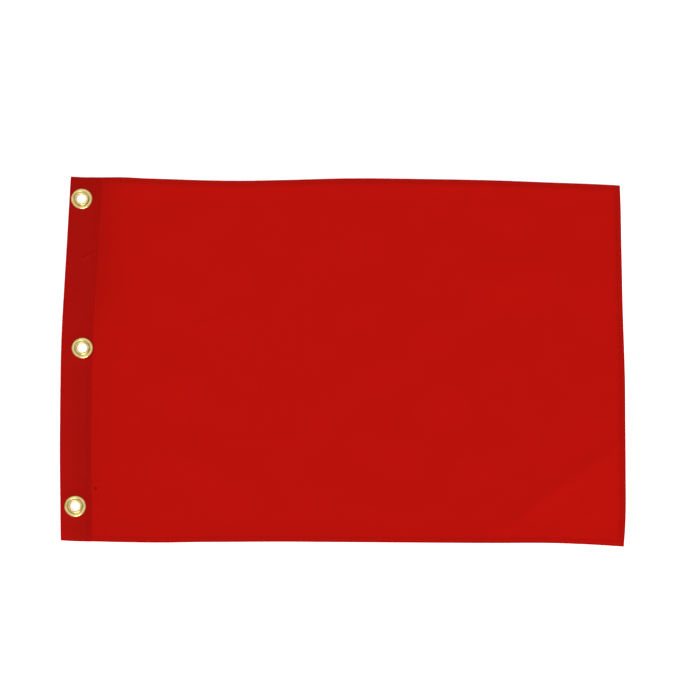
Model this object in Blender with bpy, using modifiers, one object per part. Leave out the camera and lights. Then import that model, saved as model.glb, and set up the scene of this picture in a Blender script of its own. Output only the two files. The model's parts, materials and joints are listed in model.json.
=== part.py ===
"""A red signal flag: a hemmed nylon field, a heading band folded round its hoist edge, and three brass grommets.

The flag lies flat. +X runs from the hoist edge to the fly edge, +Y runs up the hoist, and +Z points out of the face
that carries the grommet washers. The origin is at the middle of the flag, at the level that it rests on.
"""

from math import cos, pi, radians, sin

import bmesh
import bpy
from mathutils import Matrix, Vector

# Driving dimensions, in metres.
FLY_LENGTH = 0.457  # from the hoist edge to the fly edge
HOIST_LENGTH = 0.305  # from the bottom edge to the top edge

PLY = 0.0003  # one ply of nylon as it lies
LAY_GAP = 0.0001  # between two layers that lie on each other
HEM_WIDTH = 0.005
HEM_PLIES = 3  # the panel itself and the two folds under it

HEADING_WIDTH = 0.0245
TAPE_WIDTH = 0.019
TAPE_THICKNESS = 0.0008
TAPE_END_INSET = 0.003  # how far the tape stops short of the band's ends
FOLD_INSET = 0.0012  # from the hoist edge to what lies inside the band's fold

THREAD_RADIUS = 0.00015
SEAM_INSET = 0.0023  # from the band's free edge to its row of stitches
HEM_SEAM_INSET = 0.0041  # from a hem's outer edge to its row of stitches

EYE_RADIUS = 0.0042
METAL = 0.0005  # sheet brass of the grommets and washers
FLANGE_RADIUS = 0.0085
WASHER_RADIUS = 0.0087
WASHER_DOME = 0.00035
FLANGE_BEND = 0.0005  # centreline radius where the flange turns into the barrel
LIP_ROLL = 0.0006  # centreline radius of the rolled lip
BARREL_CLEARANCE = 0.0002  # round the barrel, in the cloth and in the washer
TURN_STEPS = 32

TOP_SETBACK = 0.0189  # from the top edge to the top eye
MIDDLE_RISE = 0.0067  # from the middle of the hoist up to the middle eye
BOTTOM_SETBACK = 0.0274  # from the bottom edge to the bottom eye
# Where each washer sits in the room between the hoist fold, at -1, and the seam, at 1.
TOP_SHARE = -0.625
MIDDLE_SHARE = 0.917
BOTTOM_SHARE = -0.083

HEADING_FOLD_MARGIN = 0.0055  # from the heading band's free edge to the line where the field folds
STORAGE_FOLD_DISTANCE = 0.160  # from that line to the crease where the flag is folded away
LEAF_GAP = 0.0003  # between two panels that fold against each other
FOLD_CLEARANCE = 0.001  # between two panels folded flat

# Levels, from the resting plane up.
FLANGE_TOP = METAL
BACK_PLY = FLANGE_TOP + LAY_GAP  # underside of the heading band
FIELD_LEVEL = BACK_PLY + PLY + LAY_GAP  # underside of the field's single ply
FIELD_TOP = FIELD_LEVEL + PLY
TAPE_LEVEL = FIELD_TOP + LAY_GAP
FRONT_PLY = TAPE_LEVEL + TAPE_THICKNESS + LAY_GAP
BAND_TOP = FRONT_PLY + PLY
BAND_THREAD = BAND_TOP + LAY_GAP + THREAD_RADIUS
WASHER_LEVEL = BAND_THREAD + THREAD_RADIUS + LAY_GAP
LIP_SPRING = WASHER_LEVEL + METAL + LAY_GAP
LIP_TOP = LIP_SPRING + LIP_ROLL + METAL / 2
HEM_BOTTOM = FIELD_TOP - HEM_PLIES * PLY
FIELD_THREAD = FIELD_TOP + LAY_GAP + THREAD_RADIUS
FIELD_THREAD_TOP = FIELD_THREAD + THREAD_RADIUS

# Places along the fly, from the middle of the flag.
HOIST_X = -FLY_LENGTH / 2
FLY_X = FLY_LENGTH / 2
TOP_Y = HOIST_LENGTH / 2
BAND_EDGE_X = HOIST_X + HEADING_WIDTH
SEAM_X = BAND_EDGE_X - SEAM_INSET
HEADING_FOLD_X = BAND_EDGE_X + HEADING_FOLD_MARGIN
STORAGE_FOLD_X = HEADING_FOLD_X + STORAGE_FOLD_DISTANCE

# The heading fold's axis is as far above the field as lets the field lie over the rolled lips.
HEADING_FOLD_Z = (LIP_TOP + FOLD_CLEARANCE + FIELD_THREAD_TOP) / 2
# The storage fold's axis is as far below it as lets the fly half lie under the whole flag.
STORAGE_FOLD_Z = (HEM_BOTTOM - FOLD_CLEARANCE) / 2

BARREL_RADIUS = EYE_RADIUS + METAL
HOLE_RADIUS = BARREL_RADIUS + BARREL_CLEARANCE
EYE_LINE_X = (HOIST_X + SEAM_X) / 2
WASHER_ROOM = (SEAM_X - HOIST_X) / 2 - WASHER_RADIUS
EYES = {
    "top": (EYE_LINE_X + TOP_SHARE * WASHER_ROOM, TOP_Y - TOP_SETBACK),
    "middle": (EYE_LINE_X + MIDDLE_SHARE * WASHER_ROOM, MIDDLE_RISE),
    "bottom": (EYE_LINE_X + BOTTOM_SHARE * WASHER_ROOM, BOTTOM_SETBACK - TOP_Y),
}

NYLON = (0.48, 0.006, 0.005, 1)
HEADING_NYLON = (0.37, 0.006, 0.005, 1)
WEBBING = (0.75, 0.72, 0.66, 1)
THREAD = (0.30, 0.008, 0.008, 1)
BRASS = (0.72, 0.56, 0.25, 1)


def clear_scene():
    for old in list(bpy.data.objects):
        bpy.data.objects.remove(old, do_unlink=True)


def new_collection(name, parent=None):
    collection = bpy.data.collections.new(name)
    (parent or bpy.context.scene.collection).children.link(collection)
    return collection


def material(name, colour, roughness, metallic=0.0):
    made = bpy.data.materials.new(name)
    made.use_nodes = True
    shader = made.node_tree.nodes["Principled BSDF"]
    shader.inputs["Base Color"].default_value = colour
    shader.inputs["Roughness"].default_value = roughness
    shader.inputs["Metallic"].default_value = metallic
    return made


def place(name, data, collection, finish=None):
    """Links a new object that holds data, with its material."""
    obj = bpy.data.objects.new(name, data)
    collection.objects.link(obj)
    if finish:
        data.materials.append(finish)
    return obj


def arc(centre, radius, start, end, steps):
    """Points on an arc, from the start angle to the end angle in degrees."""
    angles = [radians(start + (end - start) * i / steps) for i in range(steps + 1)]
    return [(centre[0] + radius * cos(a), centre[1] + radius * sin(a)) for a in angles]


def strip_outline(centreline, thickness):
    """The closed outline of a sheet that follows a centreline: its left side out, then its right side back."""
    points = [Vector(p) for p in centreline]
    last = len(points) - 1
    left, right = [], []
    for i, point in enumerate(points):
        run = (points[min(i + 1, last)] - points[max(i - 1, 0)]).normalized()
        normal = Vector((-run.y, run.x)) * thickness / 2
        left.append(point + normal)
        right.append(point - normal)
    return left + right[::-1]


def outline_curve(name, outline, depth):
    """A flat closed outline, extruded by half of depth to each side of its plane."""
    curve = bpy.data.curves.new(name, "CURVE")
    curve.dimensions = "2D"
    curve.fill_mode = "BOTH"
    curve.extrude = depth / 2
    spline = curve.splines.new("POLY")
    spline.points.add(len(outline) - 1)
    for point, (x, y) in zip(spline.points, outline):
        point.co = (x, y, 0, 1)
    spline.use_cyclic_u = True
    return curve


def meshed(obj, weld=0.00001):
    """Turns a curve or a modified object into a plain mesh object of the same name, place and collection."""
    graph = bpy.context.evaluated_depsgraph_get()
    mesh = bpy.data.meshes.new_from_object(obj.evaluated_get(graph))
    shape = bmesh.new()
    shape.from_mesh(mesh)
    bmesh.ops.remove_doubles(shape, verts=shape.verts, dist=weld)
    bmesh.ops.recalc_face_normals(shape, faces=shape.faces)
    shape.to_mesh(mesh)
    shape.free()
    name, matrix, collection = obj.name, obj.matrix_world.copy(), obj.users_collection[0]
    bpy.data.objects.remove(obj)
    made = bpy.data.objects.new(name, mesh)
    made.matrix_world = matrix
    collection.objects.link(made)
    return made


def extruded_along_y(name, outline, length, collection, finish):
    """An outline drawn in XZ, extruded along Y and centred on Y = 0."""
    obj = place(name, outline_curve(name, outline, length), collection, finish)
    obj.rotation_euler = (pi / 2, 0, 0)
    bpy.context.view_layer.update()
    return meshed(obj)


def extruded_along_x(name, outline, start, end, collection, finish):
    """An outline drawn in YZ, extruded along X from start to end."""
    obj = place(name, outline_curve(name, outline, end - start), collection, finish)
    obj.rotation_euler = (pi / 2, 0, pi / 2)
    obj.location.x = (start + end) / 2
    bpy.context.view_layer.update()
    return meshed(obj)


def block(name, low, high, collection, finish=None):
    """A box between two corners, with its origin at its middle."""
    low, high = Vector(low), Vector(high)
    mesh = bpy.data.meshes.new(name)
    shape = bmesh.new()
    bmesh.ops.create_cube(shape, size=1, matrix=Matrix.Diagonal((*(high - low), 1)))
    shape.to_mesh(mesh)
    shape.free()
    obj = place(name, mesh, collection, finish)
    obj.location = (low + high) / 2
    return obj


def turned(name, outline, centre, collection, finish):
    """A closed outline of (radius, height) points turned round a vertical axis through centre."""
    mesh = bpy.data.meshes.new(name)
    count = len(outline)
    edges = [(i, (i + 1) % count) for i in range(count)]
    mesh.from_pydata([(r, 0, z) for r, z in outline], edges, [])
    obj = place(name, mesh, collection, finish)
    screw = obj.modifiers.new("turn", "SCREW")
    screw.steps = screw.render_steps = TURN_STEPS
    screw.use_merge_vertices = True
    screw.merge_threshold = 0.00001
    obj.location = (*centre, 0)
    bpy.context.view_layer.update()
    obj = meshed(obj)
    obj.data.shade_smooth()
    obj.data.set_sharp_from_angle(angle=radians(35))
    return obj


def join(obj, other):
    boolean = obj.modifiers.new(other.name, "BOOLEAN")
    boolean.operation = "UNION"
    boolean.object = other


def pierce(obj, eyes):
    """Cuts a hole for each barrel, all in one operation, so that no sliver is left between one cut and the next."""
    boolean = obj.modifiers.new(eyes.name, "BOOLEAN")
    boolean.operand_type = "COLLECTION"
    boolean.collection = eyes


def helper(obj):
    obj.hide_render = True
    obj.display_type = "WIRE"
    return obj


def eye_cutters(helpers):
    """A collection with one cylinder through each eye, wide enough for the barrel and its clearance."""
    collection = new_collection("eye_cutters", helpers)
    for place_name, (x, y) in EYES.items():
        mesh = bpy.data.meshes.new("eye_cutter_" + place_name)
        shape = bmesh.new()
        bmesh.ops.create_cone(
            shape,
            cap_ends=True,
            segments=TURN_STEPS,
            radius1=HOLE_RADIUS,
            radius2=HOLE_RADIUS,
            depth=4 * LIP_TOP,
        )
        shape.to_mesh(mesh)
        shape.free()
        cutter = helper(place(mesh.name, mesh, collection))
        cutter.location = (x, y, 0)
    return collection


def heading_band(collection, finish, eyes):
    """A strip of nylon folded round the hoist edge, with a ply on each face."""
    radius = (BAND_TOP - BACK_PLY - PLY) / 2
    middle = (BAND_TOP + BACK_PLY) / 2
    fold = arc((HOIST_X + radius + PLY / 2, middle), radius, 270, 90, 12)
    ends = [(BAND_EDGE_X, middle - radius), (BAND_EDGE_X, middle + radius)]
    outline = strip_outline([ends[0], *fold, ends[1]], PLY)
    band = extruded_along_y("heading_band", outline, HOIST_LENGTH, collection, finish)
    pierce(band, eyes)


def heading_tape(collection, finish, eyes):
    """A woven tape inside the band, which stiffens the heading for the grommets."""
    start = HOIST_X + FOLD_INSET
    reach = TOP_Y - TAPE_END_INSET
    tape = block(
        "heading_tape",
        (start, -reach, TAPE_LEVEL),
        (start + TAPE_WIDTH, reach, TAPE_LEVEL + TAPE_THICKNESS),
        collection,
        finish,
    )
    pierce(tape, eyes)


def panel_outline():
    """The field's section across the hoist: a single ply with a hem folded under each edge."""
    inner = TOP_Y - HEM_WIDTH
    return [
        (-TOP_Y, FIELD_TOP),
        (-TOP_Y, HEM_BOTTOM),
        (-inner, HEM_BOTTOM),
        (-inner, FIELD_LEVEL),
        (inner, FIELD_LEVEL),
        (inner, HEM_BOTTOM),
        (TOP_Y, HEM_BOTTOM),
        (TOP_Y, FIELD_TOP),
    ]


def field_margin(collection, helpers, finish, eyes):
    """The field's cloth from inside the band to the fold line. Its hems start where the band ends."""
    end = HEADING_FOLD_X - LEAF_GAP / 2
    margin = block(
        "field_hoist_margin",
        (HOIST_X + FOLD_INSET, -TOP_Y, FIELD_LEVEL),
        (end, TOP_Y, FIELD_TOP),
        collection,
        finish,
    )
    pierce(margin, eyes)
    for name, low, high in (
        ("bottom", -TOP_Y, HEM_WIDTH - TOP_Y),
        ("top", TOP_Y - HEM_WIDTH, TOP_Y),
    ):
        stub = block(
            f"margin_hem_{name}",
            (BAND_EDGE_X + LEAF_GAP, low, HEM_BOTTOM),
            (end, high, FIELD_TOP),
            helpers,
        )
        join(margin, helper(stub))


def field_panels(collection, helpers, finish):
    """The two halves of the field, on either side of the storage crease."""
    near = extruded_along_x(
        "field_hoist_panel",
        panel_outline(),
        HEADING_FOLD_X + LEAF_GAP / 2,
        STORAGE_FOLD_X - LEAF_GAP / 2,
        collection,
        finish,
    )
    far = extruded_along_x(
        "field_fly_panel",
        panel_outline(),
        STORAGE_FOLD_X + LEAF_GAP / 2,
        FLY_X,
        collection,
        finish,
    )
    fly_hem = block(
        "fly_hem",
        (FLY_X - HEM_WIDTH, -TOP_Y, HEM_BOTTOM),
        (FLY_X, TOP_Y, FIELD_TOP),
        helpers,
    )
    join(far, helper(fly_hem))
    return near, far


def thread(name, points, collection, finish):
    """A row of stitches as one plain tube through its points."""
    curve = bpy.data.curves.new(name, "CURVE")
    curve.dimensions = "3D"
    curve.bevel_depth = THREAD_RADIUS
    curve.bevel_resolution = 2
    curve.use_fill_caps = True
    spline = curve.splines.new("POLY")
    spline.points.add(len(points) - 1)
    for point, co in zip(spline.points, points):
        point.co = (*co, 1)
    return place(name, curve, collection, finish)


def stitching(collection, finish):
    """The heading's row, the hems' rows on the hoist half, and the row round the fly half's three hems."""
    row_y = TOP_Y - HEM_SEAM_INSET
    thread(
        "heading_stitching",
        [(SEAM_X, -row_y, BAND_THREAD), (SEAM_X, row_y, BAND_THREAD)],
        collection,
        finish,
    )
    near_start = HEADING_FOLD_X + LEAF_GAP
    near_end = STORAGE_FOLD_X - LEAF_GAP
    near = [
        thread(
            f"{name}_hem_stitching",
            [(near_start, y, FIELD_THREAD), (near_end, y, FIELD_THREAD)],
            collection,
            finish,
        )
        for name, y in (("top", row_y), ("bottom", -row_y))
    ]
    far_start = STORAGE_FOLD_X + LEAF_GAP
    row_x = FLY_X - HEM_SEAM_INSET
    corners = [(far_start, row_y), (row_x, row_y), (row_x, -row_y), (far_start, -row_y)]
    far = thread(
        "fly_hem_stitching",
        [(x, y, FIELD_THREAD) for x, y in corners],
        collection,
        finish,
    )
    return near, far


def grommet_outline():
    """Sheet brass from the flange's rim, up the barrel and out over the washer in a rolled lip."""
    barrel = EYE_RADIUS + METAL / 2
    flange_bend = (barrel + FLANGE_BEND, METAL / 2 + FLANGE_BEND)
    lip = (barrel + LIP_ROLL, LIP_SPRING)
    centreline = [
        (FLANGE_RADIUS, METAL / 2),
        *arc(flange_bend, FLANGE_BEND, 270, 180, 3),
        *arc(lip, LIP_ROLL, 180, 0, 8),
    ]
    return strip_outline(centreline, METAL)


def washer_outline():
    """A flat seat under the rolled lip, then a low domed ring out to the rim."""
    level = WASHER_LEVEL + METAL / 2
    seat = BARREL_RADIUS + 2 * LIP_ROLL
    steps = 6
    ring = [
        (
            seat + (WASHER_RADIUS - seat) * i / steps,
            level + WASHER_DOME * sin(pi * i / steps),
        )
        for i in range(steps + 1)
    ]
    return strip_outline([(HOLE_RADIUS, level), *ring], METAL)[::-1]


def hinge_empty(name, x, z, collection, parent=None):
    """An empty on a fold's axis, which the pieces that turn about it hang from."""
    empty = bpy.data.objects.new(name, None)
    empty.location = (x, 0, z)
    collection.objects.link(empty)
    bpy.context.view_layer.update()
    if parent:
        hang(empty, parent)
    return empty


def hang(child, parent):
    child.parent = parent
    child.matrix_parent_inverse = parent.matrix_world.inverted()


def main():
    clear_scene()
    flag = new_collection("red_signal_flag")
    helpers = new_collection("cutters")
    nylon = material("field nylon", NYLON, 0.6)
    band_nylon = material("heading nylon", HEADING_NYLON, 0.6)
    webbing = material("polyester webbing", WEBBING, 0.8)
    thread_finish = material("sewing thread", THREAD, 0.5)
    brass = material("stamped brass", BRASS, 0.28, 1.0)

    eyes = eye_cutters(helpers)
    heading_band(flag, band_nylon, eyes)
    heading_tape(flag, webbing, eyes)
    field_margin(flag, helpers, nylon, eyes)
    for place_name, centre in EYES.items():
        turned(f"grommet_{place_name}", grommet_outline(), centre, flag, brass)
        turned(f"washer_{place_name}", washer_outline(), centre, flag, brass)

    near_panel, far_panel = field_panels(flag, helpers, nylon)
    near_rows, far_row = stitching(flag, thread_finish)
    heading_fold = hinge_empty("heading_fold", HEADING_FOLD_X, HEADING_FOLD_Z, flag)
    storage_fold = hinge_empty("storage_fold", STORAGE_FOLD_X, STORAGE_FOLD_Z, flag, heading_fold)
    for piece in (near_panel, *near_rows):
        hang(piece, heading_fold)
    for piece in (far_panel, far_row):
        hang(piece, storage_fold)


main()
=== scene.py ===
# %% [markdown]
# # A red signal flag, built around its CAD frame
#
# The object is a small hand-sized signal flag of dyed nylon. One ply of cloth is hemmed on three
# sides, and its fourth side, the hoist, is bound in a folded heading with a woven tape inside.
# Three brass grommets go through the heading, so that the flag can be tied or clipped to a line.
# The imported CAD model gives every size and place, and this script dresses it: cloth with real
# hems, stitches that can be counted, and brass with a rolled lip. All lengths are in metres.

import json
import math

import bpy
import numpy as np
from mathutils import Matrix, Vector

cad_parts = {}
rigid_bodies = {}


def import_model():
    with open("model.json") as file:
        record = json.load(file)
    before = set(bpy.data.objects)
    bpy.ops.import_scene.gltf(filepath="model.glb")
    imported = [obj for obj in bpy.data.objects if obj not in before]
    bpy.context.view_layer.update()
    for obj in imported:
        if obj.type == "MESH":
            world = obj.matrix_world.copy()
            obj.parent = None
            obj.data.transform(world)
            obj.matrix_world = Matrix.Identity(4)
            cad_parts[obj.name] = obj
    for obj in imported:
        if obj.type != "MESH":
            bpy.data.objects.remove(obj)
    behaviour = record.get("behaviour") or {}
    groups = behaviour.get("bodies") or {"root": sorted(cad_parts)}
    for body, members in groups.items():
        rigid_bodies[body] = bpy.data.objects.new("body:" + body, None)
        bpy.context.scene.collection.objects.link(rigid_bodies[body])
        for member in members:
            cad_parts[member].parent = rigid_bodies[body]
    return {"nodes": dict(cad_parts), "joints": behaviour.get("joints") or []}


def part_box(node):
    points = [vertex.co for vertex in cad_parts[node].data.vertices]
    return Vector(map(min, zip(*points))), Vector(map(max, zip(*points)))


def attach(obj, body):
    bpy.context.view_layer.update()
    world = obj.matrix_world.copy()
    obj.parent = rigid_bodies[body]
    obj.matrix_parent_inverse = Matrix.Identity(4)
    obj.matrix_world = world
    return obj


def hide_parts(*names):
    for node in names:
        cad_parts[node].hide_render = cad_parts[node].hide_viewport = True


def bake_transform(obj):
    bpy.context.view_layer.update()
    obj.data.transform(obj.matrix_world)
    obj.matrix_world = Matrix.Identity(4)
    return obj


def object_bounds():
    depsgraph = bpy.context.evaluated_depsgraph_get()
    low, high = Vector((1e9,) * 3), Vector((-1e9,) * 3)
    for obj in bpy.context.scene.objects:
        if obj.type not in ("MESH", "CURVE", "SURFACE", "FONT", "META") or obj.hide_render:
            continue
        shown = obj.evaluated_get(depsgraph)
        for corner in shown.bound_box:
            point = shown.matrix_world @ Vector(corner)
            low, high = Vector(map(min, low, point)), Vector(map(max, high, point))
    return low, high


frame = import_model()
cad_low, cad_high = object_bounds()
LENGTH = cad_high.x - cad_low.x
HEIGHT = cad_high.y - cad_low.y
HALF = HEIGHT / 2
print(f"CAD model {LENGTH:.4f} x {HEIGHT:.4f} x {cad_high.z - cad_low.z:.5f} m")

# %% [markdown]
# Small helpers come first. A colour is written the way a dye card gives it, as an sRGB hex value,
# and turned to the linear numbers that a shader needs. A smooth step fades one thing into the
# next, and a smooth curve through a short table gives the drift of an edge.


# %% Helpers for numbers
def linear(hex_colour):
    """An sRGB hex colour as the linear colour that a shader takes."""
    parts = [int(hex_colour[k : k + 2], 16) / 255 for k in (1, 3, 5)]
    return [p / 12.92 if p <= 0.04045 else ((p + 0.055) / 1.055) ** 2.4 for p in parts] + [1.0]


def fade(start, end, value):
    """0 before start, 1 after end, and a smooth step between them. start may be past end."""
    t = np.clip((np.asarray(value, float) - start) / (end - start), 0, 1)
    return t * t * (3 - 2 * t)


def through(stations, values, at):
    """A smooth curve through a table of measured values."""
    stations = np.asarray(stations, float)
    values = np.asarray(values, float)
    slopes = np.gradient(values, stations)
    k = np.clip(np.searchsorted(stations, at) - 1, 0, len(stations) - 2)
    width = stations[k + 1] - stations[k]
    t = np.clip((at - stations[k]) / width, 0, 1)
    left = (1 + 2 * t) * (1 - t) ** 2 * values[k] + t * (1 - t) ** 2 * width * slopes[k]
    right = t * t * (3 - 2 * t) * values[k + 1] + t * t * (t - 1) * width * slopes[k + 1]
    return left + right


print("flag red in linear light:", [round(c, 3) for c in linear("#B9120B")])

# %% [markdown]
# A flag that is laid down is never a true rectangle. The hoist edge bows outwards, the hems drift
# by a millimetre or three, and the corners stay where they are pulled to. Every cloth piece is
# first thought of flat, with a distance from the hoist edge and a height from the middle line.
# One function then says where such a point lies on the floor, so that the field, the heading,
# the tape and the stitches all bend together and nothing comes apart.

# %% How far each edge has drifted, as a table of millimetres
STATIONS_UP = [-152.5, -135, -120, -100, -75, -50, -25, 0, 25, 50, 75, 100, 120, 135, 152.5]
HOIST_DRIFT = [-0.1, -0.8, -1.3, -2.1, -2.9, -3.4, -3.8, -4.1, -3.9, -3.2, -2.4, -1.6, -1, -0.5, 0]
FLY_DRIFT = [-0.2, 1.2, 1.8, 2.0, 2.2, 2.3, 2.5, 2.3, 1.8, 1.3, 1.1, 0.9, 0.8, 0.7, 0.3]
STATIONS_ALONG = [0, 12, 30, 45, 60, 80, 110, 140, 180, 225, 300, 350, 400, 440, 457]
TOP_DRIFT = [0.4, 0.0, 0.6, 0.8, 0.2, -0.2, -0.8, -0.8, 0.5, 2.4, 2.9, 2.6, 1.4, 0.4, -0.3]
BOTTOM_DRIFT = [-0.3, -0.8, -0.9, -1.1, -1.2, -1.2, -0.4, 0.1, 0.7, 0.9, 1.2, 1.5, 2.0, 0.7, -0.3]


def laid(along, up):
    """Where a point of the flat cloth lies on the floor, seen from above."""
    along = np.asarray(along, float)
    up = np.asarray(up, float)
    share = along / LENGTH
    rise = up / HALF
    hoist = through(STATIONS_UP, HOIST_DRIFT, up * 1000) / 1000
    fly = through(STATIONS_UP, FLY_DRIFT, up * 1000) / 1000
    top = through(STATIONS_ALONG, TOP_DRIFT, along * 1000) / 1000
    bottom = through(STATIONS_ALONG, BOTTOM_DRIFT, along * 1000) / 1000
    x = cad_low.x + along + (1 - share) * hoist + share * fly
    y = up + (1 + rise) / 2 * top + (1 - rise) / 2 * bottom
    return x, y


print("middle of the hoist edge lies at x =", round(float(laid(0, 0)[0]), 5))

# %% [markdown]
# The eyes are where the CAD model has them, because a clip or a line has to meet them there.
# Their centres are read from the grommets, and the cloth is pierced at those places.

# %% The three eyes
ROWS = ("top", "middle", "bottom")
EYES = []
for row in ROWS:
    low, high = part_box(f"grommet_{row}")
    EYES.append(((low.x + high.x) / 2, (low.y + high.y) / 2))
WASHER_EDGE = (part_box("washer_top")[1].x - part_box("washer_top")[0].x) / 2
print("eyes:", [(round(x, 4), round(y, 4)) for x, y in EYES], "washer radius", round(WASHER_EDGE, 5))


def near_eyes(x, y, inner, outer):
    """1 within inner of an eye's centre, 0 past outer."""
    found = np.zeros(np.shape(x))
    for eye_x, eye_y in EYES:
        distance = np.hypot(x - eye_x, y - eye_y)
        found = np.maximum(found, fade(outer, inner, distance))
    return found


# %% [markdown]
# Nylon that has been folded in a packet keeps the memory of it. There are a few old creases, a
# broad soft diagonal, and small puckers where the lockstitch has drawn the cloth together. These
# heights are tenths of a millimetre, and they matter: they are what makes the light move over the
# cloth. They are added up as a height in metres over the flat cloth.

# %% Heights of the cloth: creases and puckers
SHEET_THICKNESS = 0.00025
PLY_STEP = 0.00031
HEM_WIDTH = 0.005
HEM_SEAM = 0.0035
HEADING_EDGE = 0.0245
HEADING_SEAM = 0.0222
LEVEL_INSIDE = 0.00070
LEVEL_HEM = 0.00102
LEVEL_IN_HEADING = 0.00115


def inset_of(along, up):
    """Distance from the nearest of the three hemmed edges."""
    return np.minimum(HALF - np.abs(up), LENGTH - along)


def crease(along, up, start, end, width, height):
    """A soft ridge, or a valley where height is negative, along a line of the flat cloth, in mm."""
    start = np.array(start) / 1000
    end = np.array(end) / 1000
    line = end - start
    reach = np.hypot(*line)
    t = ((along - start[0]) * line[0] + (up - start[1]) * line[1]) / reach**2
    side = ((along - start[0]) * line[1] - (up - start[1]) * line[0]) / reach
    ends = fade(-0.12, 0.25, t) * fade(1.12, 0.75, t)
    return height / 1000 * ends * np.exp(-((side / (width / 1000)) ** 2))


def pucker(distance, strength, seed):
    """Small irregular waves along a seam, in metres."""
    random = np.random.default_rng(seed)
    waves = np.zeros(np.shape(distance))
    for length in (0.0061, 0.0083, 0.0114, 0.0163, 0.0241):
        phase = random.uniform(0, 2 * math.pi)
        waves = waves + random.uniform(0.6, 1.0) * np.sin(2 * math.pi * distance / length + phase)
    return strength * waves / 3


CREASES = (
    ((348, -150), (462, -63), 6, 0.4),
    ((340, -138), (440, -60), 8, -0.2),
    ((330, -150), (470, -60), 22, 0.3),
    ((395, -148), (455, -110), 5, 0.16),
    ((24, -119), (50, -143), 3.2, 0.3),
    ((24, -125), (54, -139), 3.0, -0.26),
    ((24, 128), (46, 146), 3.5, 0.22),
    ((34, -1), (58, -2), 5.0, 0.2),
    ((85, 18), (181, 52), 4.0, 0.14),
    ((106, -68), (197, -68), 4.0, 0.12),
    ((395, -18), (450, -16), 4.0, 0.1),
    ((185, 150), (212, -150), 5.0, 0.34),
    ((180, 150), (205, -150), 5.0, -0.2),
    ((318, 146), (311, 108), 4.0, -0.26),
    ((330, 146), (330, 100), 5.0, 0.26),
    ((342, 146), (349, 104), 4.5, -0.26),
    ((354, 146), (364, 110), 5.0, 0.22),
    ((60, 120), (150, 60), 20, 0.3),
    ((70, -60), (165, -120), 18, 0.25),
    ((250, 60), (330, -40), 26, 0.3),
    ((385, 95), (440, 60), 24, 0.4),
    ((230, -100), (290, -140), 14, 0.3),
    ((110, 20), (170, -30), 20, -0.25),
)


def old_creases(along, up):
    """The sum of the flag's creases."""
    height = np.zeros(np.shape(along))
    for start, end, width, rise in CREASES:
        height = height + crease(along, up, start, end, width, rise)
    return height


def deselect_all():
    for obj in bpy.context.view_layer.objects:
        obj.select_set(False)


def only(obj):
    """Makes obj the one selected and active object."""
    deselect_all()
    obj.select_set(True)
    bpy.context.view_layer.objects.active = obj


print(len(CREASES), "creases are listed")

# %% [markdown]
# How the loose middle of the flag lies is left to gravity. A coarse sheet is laid out with its
# creases and a few seeded ripples, its hems are made a little short, as a row of lockstitch makes
# them, and it settles on a floor in a cloth simulation. It is run ten times full size, because
# the solver is steadier with centimetres than with tenths of a millimetre. Only its heights are
# kept, as a grid that a smooth surface is then drawn through.

# %% Settle a coarse sheet
SIM_SCALE = 10
SIM_COLUMNS = 92
SIM_ROWS = 62
SIM_FRAMES = 28
SIM_GAP = 0.02
LIE_HEIGHT = 0.0005


def ripples(along, up):
    """Seeded, broad and low waves, in metres."""
    random = np.random.default_rng(5)
    height = np.zeros(np.shape(along))
    for _ in range(14):
        angle = random.uniform(0, math.pi)
        length = random.uniform(0.05, 0.16)
        phase = random.uniform(0, 2 * math.pi)
        wave = (along * math.cos(angle) + up * math.sin(angle)) / length
        height = height + 0.0005 * np.sin(2 * math.pi * wave + phase)
    return height


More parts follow.
